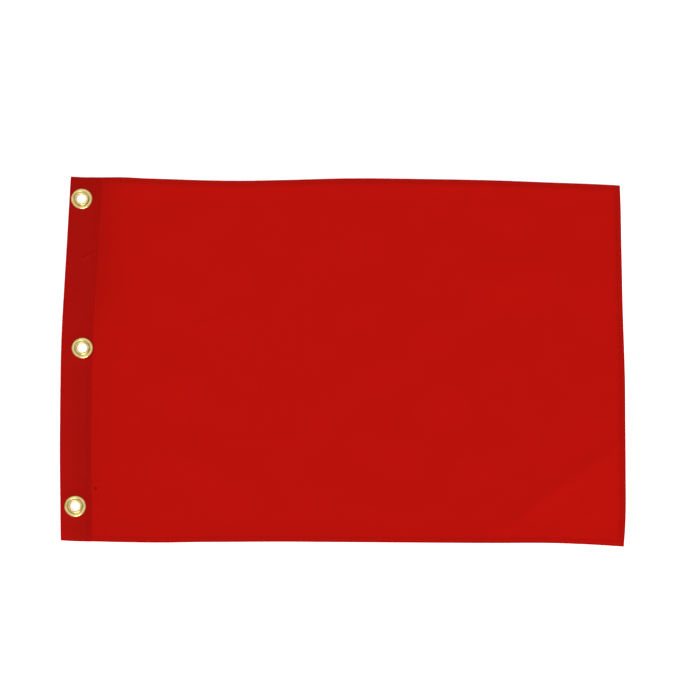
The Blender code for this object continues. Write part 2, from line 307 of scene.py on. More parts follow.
def settle_sheet():
    """Runs the simulation and returns the settled heights, a row for each step up the hoist."""
    deselect_all()
    bpy.ops.mesh.primitive_plane_add(size=12, location=(0, 0, 0))
    ground = bpy.context.object
    ground.modifiers.new("ground", "COLLISION")
    ground.collision.thickness_outer = 0.01
    bpy.ops.mesh.primitive_grid_add(x_subdivisions=SIM_COLUMNS, y_subdivisions=SIM_ROWS, size=2)
    sheet = bpy.context.object
    half_size = (LENGTH * SIM_SCALE / 2, HALF * SIM_SCALE, 1)
    bpy.ops.object.mode_set(mode="EDIT")
    bpy.ops.mesh.select_all(action="SELECT")
    bpy.ops.transform.resize(value=half_size, center_override=(0, 0, 0))
    bpy.ops.object.mode_set(mode="OBJECT")
    flat = np.array([v.co for v in sheet.data.vertices])
    along = flat[:, 0] / SIM_SCALE + LENGTH / 2
    up = flat[:, 1] / SIM_SCALE
    start = old_creases(along, up) + ripples(along, up)
    start = (start - start.min()) * SIM_SCALE * fade(0.02, 0.09, along) + 2 * SIM_GAP
    for vertex, height in zip(sheet.data.vertices, start):
        vertex.co.z = height
    held = sheet.vertex_groups.new(name="held")
    held.add([int(k) for k in np.flatnonzero(along < 0.026)], 1.0, "REPLACE")
    short = sheet.vertex_groups.new(name="short")
    for k, inset in enumerate(inset_of(along, up)):
        short.add([k], float(fade(0.012, 0.004, inset)), "REPLACE")
    cloth_modifier = sheet.modifiers.new("lie", "CLOTH")
    settings = cloth_modifier.settings
    settings.quality = 6
    settings.mass = 0.15
    settings.tension_stiffness = 25
    settings.compression_stiffness = 25
    settings.shear_stiffness = 12
    settings.bending_stiffness = 40
    settings.air_damping = 3
    settings.vertex_group_mass = "held"
    settings.vertex_group_shrink = "short"
    settings.shrink_max = 0.004
    cloth_modifier.collision_settings.distance_min = SIM_GAP / 2
    cloth_modifier.point_cache.frame_end = SIM_FRAMES
    for number in range(1, SIM_FRAMES + 1):
        bpy.context.scene.frame_set(number)
    only(sheet)
    bpy.ops.object.modifier_apply(modifier=cloth_modifier.name)
    heights = np.array([v.co.z for v in sheet.data.vertices])
    bpy.data.objects.remove(sheet)
    bpy.data.objects.remove(ground)
    bpy.context.scene.frame_set(1)
    order = np.lexsort((flat[:, 0].round(4), flat[:, 1].round(4)))
    return heights[order].reshape(SIM_ROWS + 1, SIM_COLUMNS + 1) / SIM_SCALE


lie = settle_sheet()

# A coarse sheet rattles a little from point to point, so its heights are evened out.
for _ in range(5):
    edged = np.pad(lie, 1, mode="edge")
    lie = (edged[:-2, 1:-1] + 2 * edged[1:-1, 1:-1] + edged[2:, 1:-1]) / 4
    edged = np.pad(lie, 1, mode="edge")
    lie = (edged[1:-1, :-2] + 2 * edged[1:-1, 1:-1] + edged[1:-1, 2:]) / 4
lie = lie - np.percentile(lie, 4)
print("before scaling, the lie of the cloth is", round(float(np.percentile(lie, 96)) * 1000, 2), "mm high")
lie = np.pad(np.clip(lie * LIE_HEIGHT / np.percentile(lie, 96), 0, 2 * LIE_HEIGHT), 2, mode="edge")


def spline_weights(part):
    """The four weights of a uniform cubic B-spline."""
    return (
        (1 - part) ** 3 / 6,
        (3 * part**3 - 6 * part**2 + 4) / 6,
        (-3 * part**3 + 3 * part**2 + 3 * part + 1) / 6,
        part**3 / 6,
    )


def settled(along, up):
    """Height of the settled cloth, as a smooth surface through the grid."""
    column = np.clip(np.asarray(along, float) / LENGTH, 0, 1) * SIM_COLUMNS
    row = np.clip(np.asarray(up, float) / HEIGHT + 0.5, 0, 1) * SIM_ROWS
    first_column = np.minimum(np.floor(column).astype(int), SIM_COLUMNS - 1)
    first_row = np.minimum(np.floor(row).astype(int), SIM_ROWS - 1)
    height = 0
    for down, row_weight in enumerate(spline_weights(row - first_row)):
        for over, column_weight in enumerate(spline_weights(column - first_column)):
            height = height + row_weight * column_weight * lie[first_row + 1 + down, first_column + 1 + over]
    return height


def cloth_height(along, up):
    """Height of the field's top ply, at the middle of its thickness."""
    inset = inset_of(along, up)
    hem = fade(0.0185, HEM_WIDTH - 0.0005, inset)
    level = LEVEL_INSIDE + (LEVEL_HEM - LEVEL_INSIDE) * hem
    heading = fade(0.036, HEADING_EDGE, along)
    level = level + (LEVEL_IN_HEADING - level) * heading
    free = fade(HEADING_EDGE, 0.060, along) * (0.35 + 0.65 * fade(0, 0.030, inset))
    pressed = fade(HEADING_EDGE, 0.029, along) * (0.2 + 0.8 * fade(0.002, 0.014, inset))
    lie = free * settled(along, up) + pressed * old_creases(along, up)
    run = np.where(LENGTH - along < HALF - np.abs(up), up, along)
    gather = np.exp(-(((inset - HEM_SEAM) / 0.0035) ** 2)) * pucker(run, 0.00016, 11)
    gather = gather * fade(HEADING_EDGE, 0.030, along)
    by_heading = pucker(up, 0.00014, 12) * np.exp(-(((along - 0.028) / 0.004) ** 2))
    return level + np.maximum(lie, -0.0001) + gather + by_heading * fade(0.0255, 0.0275, along)


print("height at the flag's middle:", round(float(cloth_height(0.2285, 0.0)) * 1000, 2), "mm")

# %% [markdown]
# A sheet of cloth is made in code, because its shape is the sum of the tables above. Each point
# carries its place in the flat cloth as a UV in metres. The weave then follows the thread through
# every fold, as it does in real cloth. Solidify gives the ply its thickness of a quarter of a
# millimetre, and only the raw edges are left sharp.


# %% Making cloth from points
def cloth(name, points, places, faces, thickness=SHEET_THICKNESS, sharp=50):
    """A ply of cloth from its middle surface. places are the points' places in the flat cloth."""
    mesh = bpy.data.meshes.new(name)
    mesh.from_pydata([tuple(p) for p in points], [], faces)
    uv = mesh.uv_layers.new(name="flat_cloth")
    corners = np.array([loop.vertex_index for loop in mesh.loops])
    uv.data.foreach_set("uv", np.asarray(places, np.float32)[corners].ravel())
    piece = bpy.data.objects.new(name, mesh)
    bpy.context.scene.collection.objects.link(piece)
    only(piece)
    wall = piece.modifiers.new("ply thickness", "SOLIDIFY")
    wall.thickness = thickness
    wall.offset = 0
    bpy.ops.object.modifier_apply(modifier=wall.name)
    bpy.ops.object.shade_smooth_by_angle(angle=math.radians(sharp))
    return piece


def is_pierced(piece, x, y, radius):
    """True where the piece is still one closed surface and none of it is left across the eye."""
    uses = np.bincount([loop.edge_index for loop in piece.data.loops])
    centres = np.array([polygon.center for polygon in piece.data.polygons])
    across = np.hypot(centres[:, 0] - x, centres[:, 1] - y) < 0.9 * radius
    return bool((uses == 2).all()) and not across.any()


def pierce(piece, radius):
    """Punches the three eyes through a piece, as the die does before the grommets are set."""
    tries = (("FAST", 0.0), ("EXACT", 0.0), ("FAST", 0.02), ("EXACT", 0.02), ("FAST", 0.05))
    for x, y in EYES:
        before = piece.data.copy()
        for solver, turn in tries:
            deselect_all()
            bpy.ops.mesh.primitive_cylinder_add(
                vertices=48, radius=radius, depth=0.02, location=(x, y, 0.002), rotation=(0, 0, turn)
            )
            cutter = bpy.context.object
            only(piece)
            punch = piece.modifiers.new("eye", "BOOLEAN")
            punch.object = cutter
            punch.operation = "DIFFERENCE"
            punch.solver = solver
            bpy.ops.object.modifier_apply(modifier=punch.name)
            bpy.data.objects.remove(cutter)
            if is_pierced(piece, x, y, radius):
                break
            piece.data = before.copy()
        print(f"{piece.name}: eye at y = {y:.3f} cut by the {solver} solver, turned {turn}")
        bpy.data.meshes.remove(before)


def stops(start, end, step, fine_from=None, fine_to=None, fine_step=0.0008):
    """Places from start to end at about that step, and closer together in one zone that bends."""
    if fine_from is None:
        return np.linspace(start, end, round((end - start) / step) + 1)
    parts = [(start, fine_from, step), (fine_from, fine_to, fine_step), (fine_to, end, step)]
    found = [np.linspace(p, q, max(1, round((q - p) / s)) + 1)[:-1] for p, q, s in parts]
    return np.concatenate([*found, [end]])


# %% [markdown]
# A hem is the edge turned under twice, so that the raw edge is inside. From above, the ply runs
# to the edge, rolls over in a small round, comes back underneath for five millimetres, and turns
# once more. The list below is that section, from the flat cloth outwards: how far in from the
# edge, how far below the top ply, and the distance along the thread.


# %% The section of a double-folded hem
GRID_INSET = 0.011
INNER_BEND = PLY_STEP / 2


def hem_section():
    """Rows of (inset, drop, place in the flat cloth), and from which row the cloth is under."""
    rows = [(i, 0.0, i) for i in (GRID_INSET, 0.0085, 0.0068, 0.0056, 0.0048, HEM_SEAM, 0.0022, 0.001)]
    rows.append((PLY_STEP, 0.0, PLY_STEP))
    over = len(rows)
    for turn in np.linspace(0, math.pi, 6)[1:]:
        rows.append((PLY_STEP * (1 - math.sin(turn)), PLY_STEP * (1 - math.cos(turn)), PLY_STEP * (1 - turn)))
    place = PLY_STEP * (1 - math.pi)
    inner = HEM_WIDTH - INNER_BEND
    for inset in (0.0014, 0.0025, HEM_SEAM, inner):
        rows.append((inset, 2 * PLY_STEP, place - (inset - PLY_STEP)))
    place = place - (inner - PLY_STEP)
    for turn in np.linspace(0, math.pi, 4)[1:]:
        drop = 2 * PLY_STEP - INNER_BEND * (1 - math.cos(turn))
        rows.append((inner + INNER_BEND * math.sin(turn), drop, place - INNER_BEND * turn))
    place = place - INNER_BEND * math.pi
    for inset in (HEM_SEAM, 0.0025, 0.0014):
        rows.append((inset, PLY_STEP, place - (inner - inset)))
    return rows, over


HEM, HEM_OVER = hem_section()

# %% [markdown]
# The field is one sheet. It is parted a hand's breadth from the hoist, where the flag never bends,
# only because each part then crosses one fold of the model. Columns are packed closely where the
# cloth turns over a fold. The double hem goes all the way round, with mitred corners at the fly.

# %% The field in two parts
PARTING = 0.109
FIELD_START = 0.0015
STEP = 0.0021
HEM_START = 0.0246


def field_sheet(name, columns, with_fly):
    """A part of the field with its hems, from the columns of its flat grid."""
    rows = stops(GRID_INSET - HALF, HALF - GRID_INSET, STEP)
    flat = []
    drops = []
    places = []
    known = {}
    faces = []

    def point(along, up, drop, u, v):
        key = (round(along, 6), round(up, 6), round(drop, 6))
        if key not in known:
            known[key] = len(flat)
            flat.append((along, up))
            drops.append(drop)
            places.append((u, v))
        return known[key]

    def face(*corners):
        kept = [c for k, c in enumerate(corners) if c != corners[k - 1]]
        if len(kept) > 2:
            faces.append(kept)

    for left, right in zip(columns[:-1], columns[1:]):
        for below, above in zip(rows[:-1], rows[1:]):
            ends = ((left, below), (right, below), (right, above), (left, above))
            face(*[point(a, b, 0, a, b) for a, b in ends])

    def ring(inset, drop, place):
        """One row of the hem, as runs of points along the bottom, up the fly, and back."""
        bottom = [(a, inset - HALF, drop, a, place - HALF) for a in columns]
        top = [(a, HALF - inset, drop, a, HALF - place) for a in columns[::-1]]
        if not with_fly:
            return [bottom, top]
        fly = [(LENGTH - inset, b, drop, LENGTH - place, b) for b in rows]
        low_corner = (LENGTH - inset, inset - HALF, drop, LENGTH - place, place - HALF)
        high_corner = (LENGTH - inset, HALF - inset, drop, LENGTH - place, HALF - place)
        return [[*bottom, low_corner, *fly, high_corner, *top]]

    for number in range(1, len(HEM)):
        for inner, outer in zip(ring(*HEM[number - 1]), ring(*HEM[number])):
            for k in range(len(inner) - 1):
                if number >= HEM_OVER and min(inner[k][0], inner[k + 1][0]) < HEM_START:
                    continue
                face(point(*inner[k]), point(*outer[k]), point(*outer[k + 1]), point(*inner[k + 1]))

    flat = np.array(flat)
    x, y = laid(flat[:, 0], flat[:, 1])
    z = cloth_height(flat[:, 0], flat[:, 1]) - np.array(drops)
    piece = cloth(name, np.column_stack([x, y, z]), places, faces)
    print(f"{name}: {len(piece.data.polygons)} faces, z {z.min() * 1000:.2f} to {z.max() * 1000:.2f} mm")
    return piece


# %% [markdown]
# The heading is a strip of the same nylon, folded round the tape and the field like the cover of
# a book. Its two long edges are turned in. The section starts inside the back, goes round the
# hoist edge, and ends inside the front. The front lies lower past the tape, where the row of
# stitches holds it, and it swells a little under each washer.

# %% The section of the heading
TAPE_FRONT = 0.0195
TURN_IN = 0.0207
BACK = 0.00075
BACK_AT_SEAM = 0.00045
FRONT = 0.00245
FRONT_AT_SEAM = 0.00186
EDGE_BEND = 0.00015
HOIST_BEND = (FRONT - BACK) / 2


def heading_section():
    """Points (distance from the hoist, height, side) round the folded strip."""
    edge = HEADING_EDGE - EDGE_BEND
    outward = np.linspace(TURN_IN, edge, 4)
    back = [(a, BACK_AT_SEAM + 2 * EDGE_BEND, -1) for a in outward]
    for turn in np.linspace(0, math.pi, 5)[1:-1]:
        z = BACK_AT_SEAM + EDGE_BEND * (1 + math.cos(turn))
        back.append((edge + EDGE_BEND * math.sin(turn), z, -1))
    for a in [*np.linspace(edge, TAPE_FRONT, 9), *np.linspace(TAPE_FRONT, HOIST_BEND, 20)[1:]]:
        back.append((a, BACK + (BACK_AT_SEAM - BACK) * float(fade(TAPE_FRONT, 0.0212, a)), -1))
    for turn in np.linspace(0, math.pi, 9)[1:-1]:
        side = -math.cos(turn)
        back.append((HOIST_BEND * (1 - math.sin(turn)), (BACK + FRONT) / 2 + HOIST_BEND * side, side))
    front = []
    for a in [*np.linspace(HOIST_BEND, TAPE_FRONT, 20), *np.linspace(TAPE_FRONT, edge, 9)[1:]]:
        front.append((a, FRONT + (FRONT_AT_SEAM - FRONT) * float(fade(TAPE_FRONT, 0.0212, a)), 1))
    for turn in np.linspace(0, math.pi, 5)[1:-1]:
        z = FRONT_AT_SEAM - EDGE_BEND * (1 - math.cos(turn))
        front.append((edge + EDGE_BEND * math.sin(turn), z, 1))
    front += [(a, FRONT_AT_SEAM - 2 * EDGE_BEND, 1) for a in outward[::-1]]
    return np.array(back + front)


SECTION = heading_section()
SECTION_RUN = np.concatenate([[0], np.cumsum(np.hypot(*np.diff(SECTION[:, :2], axis=0).T))])
print(f"heading strip is {SECTION_RUN[-1] * 1000:.1f} mm wide before it is folded")


def front_lift(along, up):
    """How much the heading's front stands off its flat level."""
    x, y = laid(along, up)
    under_washer = 0.00048 * near_eyes(x, y, WASHER_EDGE, WASHER_EDGE + 0.006)
    at_ends = -0.0005 * fade(0.0035, 0.0, HALF - np.abs(up))
    body = fade(0.0, 0.004, along) * fade(HEADING_EDGE, 0.020, along)
    drawn = np.exp(-(((along - HEADING_SEAM) / 0.0030) ** 2)) * pucker(up, 0.00017, 21)
    swell = 0.00008 * np.sin(up * 150 + 0.6) * body
    # One small tuck was caught as the heading was sewn.
    tuck = crease(along, up, (13.0, 82.4), (20.2, 87.0), 1.0, 0.6)
    return under_washer + at_ends + drawn + swell + tuck


def heading_strip(name):
    """The folded strip, from its section repeated all the way up the hoist."""
    ups = stops(-0.0001 - HALF, HALF + 0.0001, 0.0022, 0.0790, 0.0905, 0.0006)
    along, up = np.meshgrid(SECTION[:, 0], ups)
    side = np.broadcast_to(SECTION[:, 2], along.shape)
    x, y = laid(along, up)
    z = np.broadcast_to(SECTION[:, 1], along.shape) + fade(-0.2, 1, side) * front_lift(along, up)
    points = np.stack([x, y, z], axis=-1).reshape(-1, 3)
    runs = np.broadcast_to(SECTION_RUN, along.shape)
    places = np.stack([runs, up], axis=-1).reshape(-1, 2)
    across = along.shape[1]
    faces = []
    for row in range(along.shape[0] - 1):
        for column in range(across - 1):
            first = row * across + column
            faces.append((first, first + across, first + across + 1, first + 1))
    return cloth(name, points, places, faces)


# %% [markdown]
# The tape inside the heading keeps the grommets from tearing out. It is a woven polyester webbing,
# nineteen millimetres wide, and only its edge can be seen in the eyes and at the ends.


# %% The tape
TAPE_START = 0.0012
TAPE_WIDTH = 0.019
TAPE_LEVEL = 0.0018
TAPE_THICKNESS = 0.0008


def tape_strip(name):
    """A flat webbing that follows the heading."""
    columns = stops(TAPE_START, TAPE_START + TAPE_WIDTH, 0.0019)
    ups = stops(0.003 - HALF, HALF - 0.003, 0.0044)
    along, up = np.meshgrid(columns, ups)
    x, y = laid(along, up)
    z = np.full(x.shape, TAPE_LEVEL)
    points = np.stack([x, y, z], axis=-1).reshape(-1, 3)
    places = np.stack([along, up], axis=-1).reshape(-1, 2)
    across = len(columns)
    faces = []
    for row in range(len(ups) - 1):
        for column in range(across - 1):
            first = row * across + column
            faces.append((first, first + 1, first + across + 1, first + across))
    return cloth(name, points, places, faces, TAPE_THICKNESS)


# %% Cut, fold and lay the cloth pieces
field_cloth_hoist = field_sheet(
    "field_cloth_hoist", stops(FIELD_START, PARTING, STEP, 0.0247, 0.0360), with_fly=False
)
field_cloth_fly = field_sheet(
    "field_cloth_fly", stops(PARTING, LENGTH - GRID_INSET, STEP, 0.1840, 0.1960), with_fly=True
)
heading_band_cloth = heading_strip("heading_band_cloth")
heading_tape_woven = tape_strip("heading_tape_woven")
pierce(field_cloth_hoist, 0.0050)
pierce(heading_band_cloth, 0.0048)
pierce(heading_tape_woven, 0.0049)
for piece in (field_cloth_hoist, heading_band_cloth, heading_tape_woven):
    print(piece.name, len(piece.data.polygons), "faces once pierced")

# %% [markdown]
# The flag is sewn with a lockstitch, about nine stitches to the inch. One stitch is modelled: a
# short length of thread, rounded, that dips into the cloth at each end. Then it is copied along
# the seams, on the face and on the back, each copy turned to follow the seam.

# %% One stitch of thread
PITCH = 0.0028
THREAD = 0.00017
STITCH = 0.0023

deselect_all()
bpy.ops.mesh.primitive_cylinder_add(
    vertices=6, radius=THREAD, depth=STITCH * 0.6, location=(0, 0, 0), rotation=(0, math.pi / 2, 0)
)
stitch = bpy.context.object
stitch.name = "stitch"
bpy.ops.object.transform_apply(location=True, rotation=True, scale=True)
for end in (-1, 1):
    bpy.ops.object.mode_set(mode="EDIT")
    bpy.ops.mesh.select_mode(type="FACE")
    bpy.ops.mesh.select_all(action="DESELECT")
    bpy.ops.object.mode_set(mode="OBJECT")
    for polygon in stitch.data.polygons:
        polygon.select = polygon.normal.x * end > 0.9
    bpy.ops.object.mode_set(mode="EDIT")
    tip = Vector((end * STITCH / 2, 0, -THREAD * 0.9))
    bpy.ops.mesh.extrude_region_move(
        TRANSFORM_OT_translate={"value": (end * STITCH * 0.2, 0, -THREAD * 0.9)}
    )
    bpy.ops.transform.resize(value=(0.45, 0.45, 0.45), center_override=tip)
    bpy.ops.object.mode_set(mode="OBJECT")
bpy.ops.object.shade_smooth_by_angle(angle=math.radians(60))
print("one stitch has", len(stitch.data.polygons), "faces")


# %% Sew a seam with copies of the stitch
def sew(name, runs):
    """Copies the stitch along runs of (start, end, height function, side) and joins the copies."""
    copies = []
    random = np.random.default_rng(31)
    for start, end, height, side in runs:
        start = np.array(start)
        end = np.array(end)
        reach = np.hypot(*(end - start))
        count = int(reach / PITCH)
        for k in range(count):
            middle = start + (end - start) * (k + 0.5) / count
            step = (end - start) / reach * 0.001
            x, y = laid(*middle)
            ahead_x, ahead_y = laid(*(middle + step))
            if side > 0 and float(near_eyes(x, y, WASHER_EDGE, WASHER_EDGE + 0.0004)) > 0:
                continue
            slope = (height(*(middle + step)) - height(*(middle - step))) / 0.002
            turn = math.atan2(ahead_y - y, ahead_x - x) + random.uniform(-0.05, 0.05)
            place = Matrix.Translation((x, y, float(height(*middle))))
            turned = Matrix.Rotation(turn, 4, "Z") @ Matrix.Rotation(-math.atan(slope), 4, "Y")
            if side < 0:
                turned = turned @ Matrix.Rotation(math.pi, 4, "X")
            mesh = stitch.data.copy()
            mesh.transform(place @ turned)
            copy = bpy.data.objects.new(name, mesh)
            bpy.context.scene.collection.objects.link(copy)
            copies.append(copy)
    deselect_all()
    for copy in copies:
        copy.select_set(True)
    bpy.context.view_layer.objects.active = copies[0]
    bpy.ops.object.join()
    row = bpy.context.object
    row.name = name
    print(f"{name}: {len(copies)} stitches")
    return row


def on_hem(along, up):
    """Top of the hem, where its thread lies."""
    return cloth_height(along, up) + SHEET_THICKNESS / 2 + THREAD * 0.35


def under_hem(along, up):
    """Underside of the hem."""
    return cloth_height(along, up) - 2 * PLY_STEP - SHEET_THICKNESS / 2 - THREAD * 0.1


def on_heading(along, up):
    """Top of the heading by its inner edge."""
    return FRONT_AT_SEAM + front_lift(along, up) + SHEET_THICKNESS / 2 + THREAD * 0.35


def under_heading(along, up):
    """Back of the heading by its inner edge."""
    return BACK_AT_SEAM - SHEET_THICKNESS / 2 - THREAD * 0.1


SEAM_ROW = HALF - HEM_SEAM
FLY_ROW = LENGTH - HEM_SEAM
hoist_runs = []
fly_runs = []
for side, height in ((1, on_hem), (-1, under_hem)):
    for row in (-SEAM_ROW, SEAM_ROW):
        hoist_runs.append(((0.0265, row), (PARTING, row), height, side))
        fly_runs.append(((PARTING, row), (FLY_ROW, row), height, side))
    fly_runs.append(((FLY_ROW, 0.0022 - SEAM_ROW), (FLY_ROW, SEAM_ROW - 0.0022), height, side))
heading_runs = [
    ((HEADING_SEAM, 0.0022 - HALF), (HEADING_SEAM, HALF - 0.0022), on_heading, 1),
    ((HEADING_SEAM, 0.0022 - HALF), (HEADING_SEAM, HALF - 0.0022), under_heading, -1),
]
hem_stitches_hoist = sew("hem_stitches_hoist", hoist_runs)
hem_stitches_fly = sew("hem_stitches_fly", fly_runs)
heading_seam_stitches = sew("heading_seam_stitches", heading_runs)
bpy.data.objects.remove(stitch)

# %% [markdown]
# A grommet is stamped from sheet brass in two parts. The eyelet has a flat flange at the back and
# a barrel that comes through the cloth. The washer is a domed ring that lies on the face. The
# setting tool rolls the end of the barrel over the washer, and that gives the bright round lip.
# Both parts are turned shapes. A circle is extruded ring by ring up the profile and closed on
# itself, which is how the shape would be thrown on a lathe.


# %% Turning a ring from its profile
RING_SIDES = 96


def turned_ring(name, eye, profile):
    """A closed ring round an eye, from the profile's (radius, height) points in millimetres."""
    points = [(r / 1000, z / 1000) for r, z in profile]
    deselect_all()
    bpy.ops.mesh.primitive_circle_add(
        vertices=RING_SIDES, radius=points[0][0], location=(eye[0], eye[1], points[0][1])
    )
    ring = bpy.context.object
    ring.name = name
    bpy.ops.object.transform_apply(location=True, rotation=True, scale=True)
    bpy.ops.object.mode_set(mode="EDIT")
    bpy.ops.mesh.select_all(action="SELECT")
    before = points[0]
    for radius, height in [*points[1:], points[0]]:
        rise = height - before[1]
        bpy.ops.mesh.extrude_edges_move(TRANSFORM_OT_translate={"value": (0, 0, rise)})
        grow = radius / before[0]
        bpy.ops.transform.resize(value=(grow, grow, 1), center_override=(eye[0], eye[1], height))
        before = (radius, height)
    bpy.ops.mesh.select_all(action="SELECT")
    bpy.ops.mesh.remove_doubles(threshold=0.00001)
    bpy.ops.mesh.normals_make_consistent(inside=False)
    bpy.ops.object.mode_set(mode="OBJECT")
    bpy.ops.object.shade_smooth_by_angle(angle=math.radians(60))
    return ring


def rounded(points, rounds=2):
    """A closed profile with its corners cut rounder, twice."""
    points = np.array(points, float)
    for _ in range(rounds):
        ahead = np.roll(points, -1, axis=0)
        points = np.stack([0.75 * points + 0.25 * ahead, 0.25 * points + 0.75 * ahead], 1).reshape(-1, 2)
    return points


EYELET = rounded(
    (
        (4.15, 0.9), (4.15, 2.0), (4.15, 3.3), (4.17, 4.1), (4.45, 4.58), (5.05, 4.68), (5.65, 4.42),
        (5.92, 3.98), (5.82, 3.62), (5.52, 3.62), (5.45, 3.92), (5.1, 4.2), (4.8, 4.12), (4.62, 3.7),
        (4.6, 2.8), (4.6, 1.4), (4.72, 0.66), (5.3, 0.52), (6.8, 0.56), (8.2, 0.52), (8.56, 0.32),
        (8.4, 0.02), (7.6, -0.02), (6.4, 0.04), (5.2, 0.0), (4.6, 0.1), (4.25, 0.45),
    )
)
WASHER = rounded(
    (
        (4.85, 3.12), (4.85, 3.5), (5.3, 3.52), (5.9, 3.46), (6.3, 3.62), (6.9, 3.9), (7.6, 4.0),
        (8.25, 3.84), (8.68, 3.45), (8.76, 3.12), (8.45, 3.02), (7.6, 3.3), (6.6, 3.25), (5.6, 3.1),
    )
)
brass_pieces = []
for row, eye in zip(ROWS, EYES):
    eyelet = turned_ring(f"brass_eyelet_{row}", eye, EYELET)
    washer = turned_ring(f"brass_washer_{row}", eye, WASHER)
    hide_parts(f"grommet_{row}")
    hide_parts(f"washer_{row}")
    brass_pieces += [eyelet, washer]
print(len(brass_pieces), "brass rings,", sum(len(p.data.polygons) for p in brass_pieces), "faces")

# %% [markdown]
# Finishes are next. One helper adds a node with its settings and its links, and every material is
# built with it. The cloth materials read the UV in metres, so that a thread is a thread.


# %% A helper for nodes
def add(tree, kind, inputs=(), **settings):
    """Adds a node. inputs pairs a socket's name or number with a value or with another socket."""
    node = tree.nodes.new(kind)
    for name, value in settings.items():
        setattr(node, name, value)
    for name, value in dict(inputs).items():
        if isinstance(value, bpy.types.NodeSocket):
            tree.links.new(value, node.inputs[name])
        else:
            node.inputs[name].default_value = value
    return node


def new_material(name):
    """An empty node material and its tree."""
    material = bpy.data.materials.new(name)
    material.use_nodes = True
    material.node_tree.nodes.clear()
    return material, material.node_tree


# %% [markdown]
# Dyed nylon taffeta is a plain weave of smooth filament yarn, about ninety threads to the inch.
# That is finer than any view here shows, so the weave is drawn at twice its real size. The dye is
# deep and even, with hardly any gloss, and the yarn varies a little in thickness, which draws
# faint lines both ways. Where the cloth is three layers thick, less light comes back through it;
# that shade is painted into the colour, so the hems and the heading are coloured darker. The
# needle leaves small holes, and the shade in them is painted as dark dots.

# %% Woven nylon
THREAD_PITCH = 0.00056


